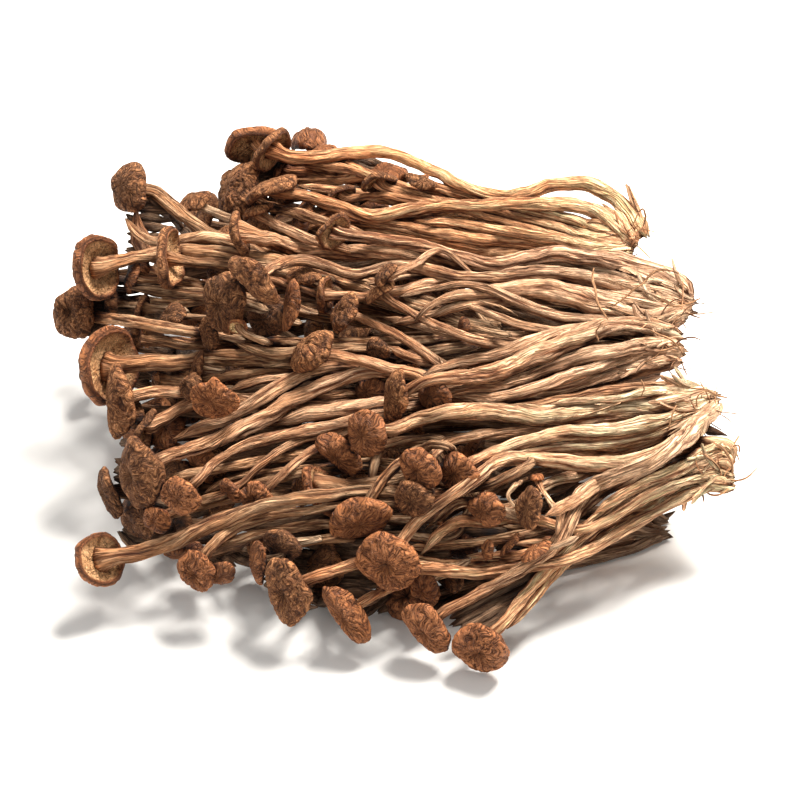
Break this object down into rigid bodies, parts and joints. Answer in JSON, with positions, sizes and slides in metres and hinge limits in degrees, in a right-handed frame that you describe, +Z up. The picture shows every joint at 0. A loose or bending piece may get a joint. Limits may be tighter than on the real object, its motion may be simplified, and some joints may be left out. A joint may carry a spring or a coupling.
{
  "type": "dried mushroom bunch",
  "caption": "Loose heap of dried tea tree mushrooms: long fibrous stems grown together in fans at the root end, each ending in a small wrinkled cap.",
  "frame": {"origin": "on the resting plane, under the middle of the heap's bounding box", "axes": "+Z up from the resting plane; +X along the stems, from the caps to the fused root ends; +Y across the heap, towards its higher side"},
  "size_m": [0.2778, 0.2584, 0.1083],
  "materials": {
    "stems": "dry fibrous matte",
    "under_stems": "dry fibrous matte",
    "stray_mushroom": "dry fibrous matte",
    "cap_skin": "wrinkled matte"
  },
  "bodies": {
    "root": {"clump_front": "stems", "clump_front_left": "stems", "clump_left": "stems", "clump_lower": "stems", "clump_middle": "stems", "clump_rear": "stems", "clump_under_01": "under_stems", "clump_under_02": "under_stems", "clump_under_03": "under_stems", "clump_under_04": "under_stems", "clump_under_05": "under_stems", "clump_under_06": "under_stems", "clump_under_07": "under_stems", "clump_under_08": "under_stems", "clump_under_09": "under_stems", "clump_under_10": "under_stems", "clump_under_11": "under_stems", "clump_under_12": "under_stems", "clump_under_13": "under_stems", "clump_under_14": "under_stems", "clump_under_15": "under_stems", "clump_under_16": "under_stems", "clump_upper": "stems", "loose_cap_01": "cap_skin", "loose_cap_02": "cap_skin", "loose_cap_03": "cap_skin", "loose_cap_04": "cap_skin", "loose_cap_05": "cap_skin", "loose_cap_06": "cap_skin", "loose_cap_07": "cap_skin", "loose_cap_08": "cap_skin", "stray_01": "stray_mushroom", "stray_02": "stray_mushroom", "stray_03": "stray_mushroom", "stray_04": "stray_mushroom", "stray_05": "stray_mushroom", "stray_06": "stray_mushroom", "stray_07": "stray_mushroom", "stray_08": "stray_mushroom", "stray_09": "stray_mushroom", "stray_10": "stray_mushroom", "stray_11": "stray_mushroom", "stray_12": "stray_mushroom", "stray_13": "stray_mushroom", "stray_14": "stray_mushroom", "stray_15": "stray_mushroom", "stray_16": "stray_mushroom", "stray_17": "stray_mushroom", "stray_18": "stray_mushroom", "stray_19": "stray_mushroom", "stray_20": "stray_mushroom", "stray_21": "stray_mushroom", "stray_22": "stray_mushroom", "stray_23": "stray_mushroom", "stray_24": "stray_mushroom", "stray_25": "stray_mushroom"}
  },
  "joints": []
}
